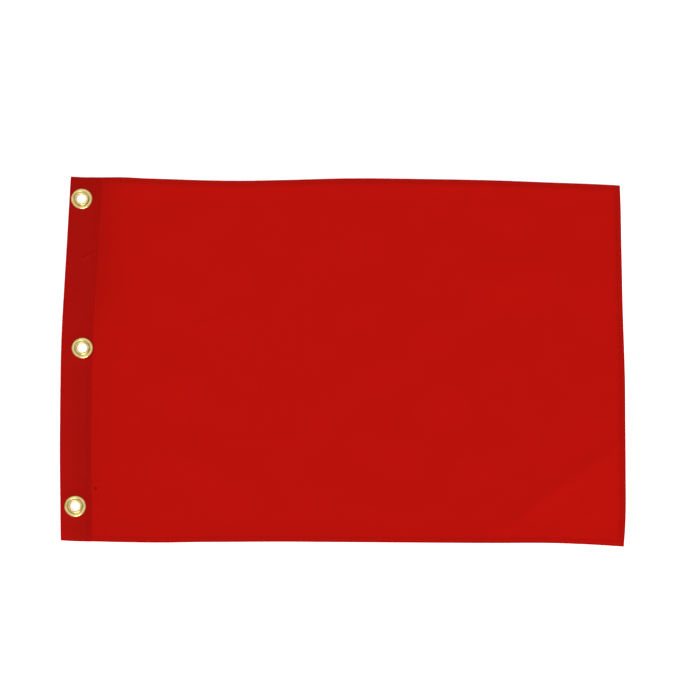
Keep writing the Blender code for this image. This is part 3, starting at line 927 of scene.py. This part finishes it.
def woven_nylon(name, colour, ply_shade_colour, needle_shade_colour, is_field):
    material, tree = new_material(name)
    flat = add(tree, "ShaderNodeUVMap", uv_map="flat_cloth")
    axes = add(tree, "ShaderNodeSeparateXYZ", {0: flat.outputs["UV"]})
    along, up = axes.outputs["X"], axes.outputs["Y"]
    turn = 2 * math.pi / THREAD_PITCH
    warp = add(tree, "ShaderNodeMath", {0: along, 1: turn}, operation="MULTIPLY")
    warp = add(tree, "ShaderNodeMath", {0: warp.outputs[0]}, operation="SINE")
    weft = add(tree, "ShaderNodeMath", {0: up, 1: turn}, operation="MULTIPLY")
    weft = add(tree, "ShaderNodeMath", {0: weft.outputs[0]}, operation="SINE")
    weave = add(
        tree, "ShaderNodeMath", {0: warp.outputs[0], 1: weft.outputs[0]}, operation="MULTIPLY"
    )
    # Thick and thin yarn, as long faint lines: stretched noise, once along and once up.
    stretch_along = add(
        tree, "ShaderNodeMapping", {"Vector": flat.outputs["UV"], "Scale": (14, 900, 1)}
    )
    stretch_up = add(
        tree, "ShaderNodeMapping", {"Vector": flat.outputs["UV"], "Scale": (900, 14, 1)}
    )
    yarn_along = add(
        tree, "ShaderNodeTexNoise", {"Vector": stretch_along.outputs[0], "Scale": 1.0, "Detail": 2.0}
    )
    yarn_up = add(
        tree, "ShaderNodeTexNoise", {"Vector": stretch_up.outputs[0], "Scale": 1.0, "Detail": 2.0}
    )
    yarn = add(
        tree,
        "ShaderNodeMath",
        {0: yarn_along.outputs["Fac"], 1: yarn_up.outputs["Fac"]},
        operation="ADD",
    )
    # Uneven dye and handling, in patches 20 to 60 mm wide.
    dye = add(
        tree, "ShaderNodeTexNoise", {"Vector": flat.outputs["UV"], "Scale": 28.0, "Detail": 3.0}
    )
    tone = add(
        tree,
        "ShaderNodeMath",
        {0: weave.outputs[0], 1: 0.022, 2: 0.935},
        operation="MULTIPLY_ADD",
    )
    tone = add(
        tree,
        "ShaderNodeMath",
        {0: yarn.outputs[0], 1: 0.035, 2: tone.outputs[0]},
        operation="MULTIPLY_ADD",
    )
    tone = add(
        tree,
        "ShaderNodeMath",
        {0: dye.outputs["Fac"], 1: 0.06, 2: tone.outputs[0]},
        operation="MULTIPLY_ADD",
    )
    dyed = add(
        tree,
        "ShaderNodeMix",
        {"Factor": 1.0, "A": linear(colour)},
        data_type="RGBA",
        blend_type="MULTIPLY",
    )
    if is_field:
        # Distance from the nearest finished edge, worked out from the place in the flat cloth.
        upright = add(tree, "ShaderNodeMath", {0: up}, operation="ABSOLUTE")
        from_side = add(
            tree, "ShaderNodeMath", {0: HALF, 1: upright.outputs[0]}, operation="SUBTRACT"
        )
        from_fly = add(tree, "ShaderNodeMath", {0: LENGTH, 1: along}, operation="SUBTRACT")
        inset = add(
            tree,
            "ShaderNodeMath",
            {0: from_side.outputs[0], 1: from_fly.outputs[0]},
            operation="MINIMUM",
        )
        fly_is_nearer = add(
            tree,
            "ShaderNodeMath",
            {0: from_fly.outputs[0], 1: from_side.outputs[0]},
            operation="LESS_THAN",
        )
        run = add(
            tree,
            "ShaderNodeMix",
            {"Factor": fly_is_nearer.outputs[0], 2: along, 3: up},
            data_type="FLOAT",
        )
        seam_at = HEM_SEAM
        inset_out, run_out = inset.outputs[0], run.outputs[0]
        # Painted shade: over the hem the colour is mixed toward a darker red, for the layers that let less light
        # through.
        ply_shade = add(
            tree,
            "ShaderNodeMapRange",
            {"Value": inset_out, "From Min": HEM_WIDTH + 0.0030, "From Max": HEM_SEAM - 0.0010},
            interpolation_type="SMOOTHSTEP",
        )
        # The painted hem shade is deepest along the fly, less along the top hem and least along the bottom one.
        pressed = add(
            tree,
            "ShaderNodeMapRange",
            {"Value": up, "From Min": -HALF, "From Max": HALF, "To Min": 0.4, "To Max": 1.05},
        )
        pressed = add(
            tree,
            "ShaderNodeMix",
            {"Factor": fly_is_nearer.outputs[0], 2: pressed.outputs[0], 3: 1.25},
            data_type="FLOAT",
        )
        ply_shade = add(
            tree,
            "ShaderNodeMath",
            {0: ply_shade.outputs[0], 1: pressed.outputs[0]},
            operation="MULTIPLY",
        )
        # Painted shade: a thin line along the outer edges is coloured darker, where the hem rolls over away from
        # the light.
        painted_edge_shade = add(
            tree,
            "ShaderNodeMapRange",
            {"Value": inset_out, "From Min": 0.0014, "From Max": 0.0004},
            interpolation_type="SMOOTHSTEP",
        )
        # Painted shade: the cloth beside the heading is coloured darker, most of all towards the top.
        away = add(
            tree,
            "ShaderNodeMath",
            {0: along, 1: -1 / 0.014, 2: HEADING_EDGE / 0.014},
            operation="MULTIPLY_ADD",
        )
        away = add(tree, "ShaderNodeMath", {0: away.outputs[0]}, operation="EXPONENT")
        heading_shade_depth = add(
            tree,
            "ShaderNodeMapRange",
            {"Value": up, "From Min": -0.005, "From Max": 0.085, "To Min": -0.05, "To Max": -0.175},
            interpolation_type="SMOOTHSTEP",
        )
        heading_shade = add(
            tree,
            "ShaderNodeMath",
            {0: away.outputs[0], 1: heading_shade_depth.outputs[0], 2: 1.0},
            operation="MULTIPLY_ADD",
            use_clamp=True,
        )
        tone = add(
            tree,
            "ShaderNodeMath",
            {0: tone.outputs[0], 1: heading_shade.outputs[0]},
            operation="MULTIPLY",
        )
        # Painted light: the lower fly corner is coloured a little lighter.
        corner = add(
            tree,
            "ShaderNodeVectorMath",
            {0: flat.outputs["UV"], 1: (LENGTH, -HALF, 0)},
            operation="DISTANCE",
        )
        corner_light = add(
            tree,
            "ShaderNodeMapRange",
            {"Value": corner.outputs["Value"], "From Min": 0.02, "From Max": 0.13, "To Min": 1.045, "To Max": 1.0},
            interpolation_type="SMOOTHSTEP",
        )
        tone = add(
            tree, "ShaderNodeMath", {0: tone.outputs[0], 1: corner_light.outputs[0]}, operation="MULTIPLY"
        )
        # One slub, where the yarn is thick and has taken more dye.
        slub = add(
            tree,
            "ShaderNodeVectorMath",
            {0: flat.outputs["UV"], 1: (0.0285, -0.1090, 0)},
            operation="DISTANCE",
        )
        slub = add(
            tree,
            "ShaderNodeMapRange",
            {"Value": slub.outputs["Value"], "From Min": 0.0005, "From Max": 0.0014, "To Min": 0.4},
            interpolation_type="SMOOTHSTEP",
        )
        tone = add(
            tree, "ShaderNodeMath", {0: tone.outputs[0], 1: slub.outputs[0]}, operation="MULTIPLY"
        )
    else:
        # On the heading, the same distances run along the folded strip from its two inner edges.
        from_end = add(
            tree, "ShaderNodeMath", {0: SECTION_RUN[-1], 1: along}, operation="SUBTRACT"
        )
        inset = add(
            tree, "ShaderNodeMath", {0: along, 1: from_end.outputs[0]}, operation="MINIMUM"
        )
        seam_at = (HEADING_EDGE - TURN_IN) + (HEADING_EDGE - HEADING_SEAM) + 0.0002
        inset_out, run_out = inset.outputs[0], up
        # Past its seam the heading has no tape in it, and more light comes through.
        ply_shade = add(
            tree,
            "ShaderNodeMapRange",
            {"Value": inset_out, "From Min": seam_at + 0.0002, "From Max": seam_at - 0.0018},
            interpolation_type="SMOOTHSTEP",
        )
        half_run = SECTION_RUN[-1] / 2
        from_fold = add(tree, "ShaderNodeMath", {0: along, 1: half_run}, operation="SUBTRACT")
        from_fold = add(tree, "ShaderNodeMath", {0: from_fold.outputs[0]}, operation="ABSOLUTE")
        at_fold = add(
            tree,
            "ShaderNodeMapRange",
            {"Value": from_fold.outputs[0], "From Min": 0.0026, "From Max": 0.0016},
            interpolation_type="SMOOTHSTEP",
        )
        upright = add(tree, "ShaderNodeMath", {0: up}, operation="ABSOLUTE")
        at_end = add(
            tree,
            "ShaderNodeMapRange",
            {"Value": upright.outputs[0], "From Min": HALF - 0.0014, "From Max": HALF - 0.0004},
            interpolation_type="SMOOTHSTEP",
        )
        # The heading is coloured darker towards its top end. Lower down, it is painted lighter by the
        # hoist edge and a little darker away from it, for the light that comes through the empty fold
        # where the tape does not reach.
        darker_to_top = add(
            tree,
            "ShaderNodeMapRange",
            {"Value": up, "From Min": 0.06, "From Max": HALF, "To Min": 1.01, "To Max": 0.93},
            interpolation_type="SMOOTHSTEP",
        )
        across = add(
            tree,
            "ShaderNodeMapRange",
            {"Value": from_fold.outputs[0], "From Min": 0.002, "From Max": 0.023, "To Min": 1.09, "To Max": 0.965},
        )
        lower_half = add(
            tree,
            "ShaderNodeMapRange",
            {"Value": up, "From Min": 0.07, "From Max": -0.05},
            interpolation_type="SMOOTHSTEP",
        )
        across = add(
            tree,
            "ShaderNodeMix",
            {"Factor": lower_half.outputs[0], 2: 1.0, 3: across.outputs[0]},
            data_type="FLOAT",
        )
        tone = add(
            tree, "ShaderNodeMath", {0: tone.outputs[0], 1: across.outputs[0]}, operation="MULTIPLY"
        )
        tone = add(
            tree, "ShaderNodeMath", {0: tone.outputs[0], 1: darker_to_top.outputs[0]}, operation="MULTIPLY"
        )
        # Painted shade: the hoist fold and the two ends take the edge shade colour, where the cloth rolls away
        # from the light.
        painted_edge_shade = add(
            tree,
            "ShaderNodeMath",
            {0: at_fold.outputs[0], 1: at_end.outputs[0]},
            operation="MAXIMUM",
        )
    # Needle holes: dark dots at the stitch pitch, on the seam line only, painted for the shade in the holes and in
    # the dimples the thread draws in.
    on_seam = add(
        tree, "ShaderNodeMath", {0: inset_out, 1: seam_at, 2: 0.00065}, operation="COMPARE"
    )
    holes = add(
        tree,
        "ShaderNodeMath",
        {0: run_out, 1: 2 * math.pi / PITCH},
        operation="MULTIPLY",
    )
    holes = add(tree, "ShaderNodeMath", {0: holes.outputs[0]}, operation="COSINE")
    holes = add(
        tree,
        "ShaderNodeMapRange",
        {"Value": holes.outputs[0], "From Min": 0.2, "From Max": 0.9},
        interpolation_type="SMOOTHSTEP",
    )
    holes = add(
        tree,
        "ShaderNodeMath",
        {0: holes.outputs[0], 1: on_seam.outputs[0]},
        operation="MULTIPLY",
    )
    thick = add(
        tree,
        "ShaderNodeMix",
        {"Factor": ply_shade.outputs[0], "A": linear(colour), "B": linear(ply_shade_colour)},
        data_type="RGBA",
    )
    sewn = add(
        tree,
        "ShaderNodeMix",
        {"Factor": holes.outputs[0], "A": thick.outputs["Result"], "B": linear(needle_shade_colour)},
        data_type="RGBA",
    )
    # The rolled edges are mixed toward the painted edge shade colour.
    edged = add(
        tree,
        "ShaderNodeMix",
        {"Factor": painted_edge_shade.outputs[0], "A": sewn.outputs["Result"], "B": linear("#9C0403")},
        data_type="RGBA",
    )
    tree.links.new(edged.outputs["Result"], dyed.inputs["A"])
    tree.links.new(tone.outputs[0], dyed.inputs["B"])
    relief = add(
        tree,
        "ShaderNodeMath",
        {0: yarn.outputs[0], 1: 0.6, 2: weave.outputs[0]},
        operation="MULTIPLY_ADD",
    )
    bump = add(
        tree,
        "ShaderNodeBump",
        {"Strength": 0.22, "Distance": 0.00006, "Height": relief.outputs[0]},
    )
    shader = add(
        tree,
        "ShaderNodeBsdfPrincipled",
        {
            "Base Color": dyed.outputs["Result"],
            "Roughness": 0.62,
            "Specular IOR Level": 0.03,
            "Sheen Weight": 0.08,
            "Sheen Roughness": 0.5,
            "Sheen Tint": linear("#FF3A2A"),
            "Normal": bump.outputs["Normal"],
        },
    )
    add(tree, "ShaderNodeOutputMaterial", {"Surface": shader.outputs[0]})
    return material


# After each red come the painted shade reds: one for the thick layers, one for the needle dots.
flag_nylon = woven_nylon("dyed_nylon_taffeta_field", "#AB0B04", "#A10B04", "#9C0A04", True)
# The heading's red is painted darker than the field's, as shade for its many layers of cloth and tape, which let
# less light through.
heading_nylon = woven_nylon("dyed_nylon_taffeta_heading", "#980A05", "#980A05", "#900904", False)
print("made", flag_nylon.name, "and", heading_nylon.name)

# %% [markdown]
# The tape is undyed polyester webbing in a coarse twill, because nobody sees it. The thread is
# bonded polyester, dyed to match the flag. Thread is twisted, and the twist shows as fine
# slanting lines.


# %% Webbing and thread
def twill_webbing(name):
    material, tree = new_material(name)
    flat = add(tree, "ShaderNodeUVMap", uv_map="flat_cloth")
    rows = add(
        tree,
        "ShaderNodeTexWave",
        {"Vector": flat.outputs["UV"], "Scale": 420.0, "Distortion": 0.4},
        wave_type="BANDS",
        bands_direction="DIAGONAL",
    )
    colour = add(
        tree,
        "ShaderNodeMix",
        {"Factor": rows.outputs["Fac"], "A": linear("#C9C3B5"), "B": linear("#E2DED2")},
        data_type="RGBA",
    )
    bump = add(
        tree,
        "ShaderNodeBump",
        {"Strength": 0.5, "Distance": 0.0001, "Height": rows.outputs["Fac"]},
    )
    shader = add(
        tree,
        "ShaderNodeBsdfPrincipled",
        {
            "Base Color": colour.outputs["Result"],
            "Roughness": 0.7,
            "Specular IOR Level": 0.25,
            "Normal": bump.outputs["Normal"],
        },
    )
    add(tree, "ShaderNodeOutputMaterial", {"Surface": shader.outputs[0]})
    return material


def twisted_thread(name):
    material, tree = new_material(name)
    place = add(tree, "ShaderNodeTexCoord")
    twist = add(
        tree,
        "ShaderNodeTexWave",
        {"Vector": place.outputs["Object"], "Scale": 900.0, "Distortion": 1.0},
        wave_type="BANDS",
        bands_direction="DIAGONAL",
    )
    colour = add(
        tree,
        "ShaderNodeMix",
        {"Factor": twist.outputs["Fac"], "A": linear("#A20905"), "B": linear("#B00C06")},
        data_type="RGBA",
    )
    shader = add(
        tree,
        "ShaderNodeBsdfPrincipled",
        {"Base Color": colour.outputs["Result"], "Roughness": 0.6, "Specular IOR Level": 0.05},
    )
    add(tree, "ShaderNodeOutputMaterial", {"Surface": shader.outputs[0]})
    return material


webbing = twill_webbing("woven_polyester_webbing")
sewing_thread = twisted_thread("bonded_polyester_thread")
print("made", webbing.name, "and", sewing_thread.name)

# %% [markdown]
# The grommets are stamped brass, tumbled bright. Stamping leaves a fine grain and a few scuffs,
# and handling dulls the low places first. A metal's colour is its reflection, so the base colour
# is the pale gold of brass and the roughness does the rest.


# %% Stamped brass
def stamped_brass(name):
    material, tree = new_material(name)
    place = add(tree, "ShaderNodeTexCoord")
    grain = add(
        tree,
        "ShaderNodeTexNoise",
        {"Vector": place.outputs["Object"], "Scale": 1800.0, "Detail": 3.0},
    )
    patches = add(
        tree,
        "ShaderNodeTexNoise",
        {"Vector": place.outputs["Object"], "Scale": 260.0, "Detail": 4.0},
    )
    tarnish = add(
        tree,
        "ShaderNodeMapRange",
        {"Value": patches.outputs["Fac"], "From Min": 0.42, "From Max": 0.72},
        interpolation_type="SMOOTHSTEP",
    )
    colour = add(
        tree,
        "ShaderNodeMix",
        {"Factor": tarnish.outputs[0], "A": linear("#DCC98A"), "B": linear("#C6AE6B")},
        data_type="RGBA",
    )
    roughness = add(
        tree,
        "ShaderNodeMapRange",
        {"Value": grain.outputs["Fac"], "From Min": 0.3, "From Max": 0.7, "To Min": 0.24, "To Max": 0.38},
    )
    bump = add(
        tree,
        "ShaderNodeBump",
        {"Strength": 0.12, "Distance": 0.00004, "Height": grain.outputs["Fac"]},
    )
    shader = add(
        tree,
        "ShaderNodeBsdfPrincipled",
        {
            "Base Color": colour.outputs["Result"],
            "Metallic": 1.0,
            "Roughness": roughness.outputs[0],
            "Normal": bump.outputs["Normal"],
        },
    )
    add(tree, "ShaderNodeOutputMaterial", {"Surface": shader.outputs[0]})
    return material


brass = stamped_brass("stamped_brass_bright")


def finish_with(material, slot, *pieces):
    """Gives pieces their material. slot, the record's slot it stands for, is not used."""
    for piece in pieces:
        piece.data.materials.clear()
        piece.data.materials.append(material)


finish_with(flag_nylon, "field_nylon", field_cloth_hoist, field_cloth_fly)
finish_with(heading_nylon, "heading_nylon", heading_band_cloth)
finish_with(webbing, "webbing", heading_tape_woven)
finish_with(
    sewing_thread, "thread", hem_stitches_hoist, hem_stitches_fly, heading_seam_stitches
)
finish_with(brass, "brass", *brass_pieces)
for row in ROWS:
    for node in (f"grommet_{row}", f"washer_{row}"):
        frame["nodes"][node].data.materials.clear()
        frame["nodes"][node].data.materials.append(brass)
print("five finishes are on", 4 + 3 + len(brass_pieces), "pieces")

# %% [markdown]
# The heading and all that is on it is one body. The field bends where it leaves the heading, and
# once more where it is folded for storage. The places of those folds are read from the joints,
# and the field's two parts and their hem stitches are left fixed where they lie.

# %% What the heading's pieces move with, and where the folds are
FOLD_HALF = 0.005
joints = {joint["name"]: joint for joint in frame["joints"]}
heading_fold_x = joints["heading_fold"]["pos_m"][0]
storage_fold_x = joints["storage_fold"]["pos_m"][0]
for piece in (heading_band_cloth, heading_tape_woven, heading_seam_stitches, *brass_pieces):
    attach(piece, "heading")
for piece in (field_cloth_hoist, hem_stitches_hoist):
    end = (heading_fold_x + FOLD_HALF, 0, 0)
    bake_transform(piece)
for piece in (field_cloth_fly, hem_stitches_fly):
    end = (storage_fold_x + FOLD_HALF, 0, 0)
    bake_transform(piece)
print(f"folds at x = {heading_fold_x:.4f} and {storage_fold_x:.4f}")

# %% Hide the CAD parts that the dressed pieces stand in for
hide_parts("heading_band")
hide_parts("heading_tape")
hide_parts("heading_stitching")
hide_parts("field_hoist_margin", "field_hoist_panel")
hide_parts("field_fly_panel")
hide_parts("top_hem_stitching", "bottom_hem_stitching")
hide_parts("fly_hem_stitching")

# %% [markdown]
# The flag lies on a plain pale floor in a bright, even studio. Broad lights make the soft edges.
# Wide suns are used because they light the floor the same everywhere: one high, and one lower
# from the fly side, which draws a bright arc on each brass ring and shows the creases.

# %% Floor and light
deselect_all()
bpy.ops.mesh.primitive_plane_add(size=12, location=(0, 0, -0.0002))
floor = bpy.context.object
floor.name = "floor"
floor_material, tree = new_material("pale_studio_floor")
shader = add(
    tree,
    "ShaderNodeBsdfPrincipled",
    {
        "Base Color": linear("#F7F7F6"),
        "Roughness": 0.9,
        "Specular IOR Level": 0.1,
        "Emission Color": linear("#FFFFFF"),
        "Emission Strength": 0.45,
    },
)
add(tree, "ShaderNodeOutputMaterial", {"Surface": shader.outputs[0]})
floor.data.materials.append(floor_material)

world = bpy.data.worlds.new("studio")
bpy.context.scene.world = world
world.use_nodes = True
world.node_tree.nodes.clear()
sky = add(
    world.node_tree, "ShaderNodeBackground", {"Color": linear("#FFFFFF"), "Strength": 0.46}
)
add(world.node_tree, "ShaderNodeOutputWorld", {"Surface": sky.outputs[0]})


def soft_sun(name, strength, width, azimuth, elevation):
    """A broad light from far away. azimuth is measured from the front towards the fly side."""
    light = bpy.data.lights.new(name, "SUN")
    light.energy = strength
    light.angle = math.radians(width)
    lamp = bpy.data.objects.new(name, light)
    a = math.radians(azimuth)
    e = math.radians(elevation)
    toward = Vector((math.sin(a) * math.cos(e), -math.cos(a) * math.cos(e), math.sin(e)))
    lamp.rotation_euler = toward.to_track_quat("Z", "Y").to_euler()
    bpy.context.scene.collection.objects.link(lamp)
    return lamp


lamps = [
    soft_sun("softbox_high", 0.85, 80, -140, 72),
    soft_sun("softbox_front", 2.6, 40, 15, 36),
]
print("lights:", [lamp.name for lamp in lamps])

# %% [markdown]
# The camera looks almost straight down, from a little in front, with a long lens that keeps the
# flag's sides nearly parallel. It is rolled a few degrees, as a camera on a tripod arm is.

# %% Camera
CAMERA_DISTANCE = 2.65
CAMERA_AZIMUTH = math.radians(-6.22)
CAMERA_ELEVATION = math.radians(76.89)
CAMERA_ROLL = math.radians(6.78)
target = Vector((0.0045, 0.0086, 0))
back = Vector(
    (
        math.sin(CAMERA_AZIMUTH) * math.cos(CAMERA_ELEVATION),
        -math.cos(CAMERA_AZIMUTH) * math.cos(CAMERA_ELEVATION),
        math.sin(CAMERA_ELEVATION),
    )
)
level = Vector((math.cos(CAMERA_AZIMUTH), math.sin(CAMERA_AZIMUTH), 0))
upward = back.cross(level)
right = level * math.cos(CAMERA_ROLL) + upward * math.sin(CAMERA_ROLL)
above = upward * math.cos(CAMERA_ROLL) - level * math.sin(CAMERA_ROLL)
lens = bpy.data.cameras.new("studio_camera")
lens.lens = 165.6
lens.sensor_width = 36
lens.clip_end = 50
camera = bpy.data.objects.new("studio_camera", lens)
camera.matrix_world = Matrix.Translation(target + back * CAMERA_DISTANCE) @ Matrix(
    (
        (right.x, above.x, back.x, 0),
        (right.y, above.y, back.y, 0),
        (right.z, above.z, back.z, 0),
        (0, 0, 0, 1),
    )
)
bpy.context.scene.collection.objects.link(camera)
bpy.context.scene.camera = camera
bpy.context.scene.view_settings.view_transform = "Standard"
print("camera at", [round(c, 3) for c in camera.location])
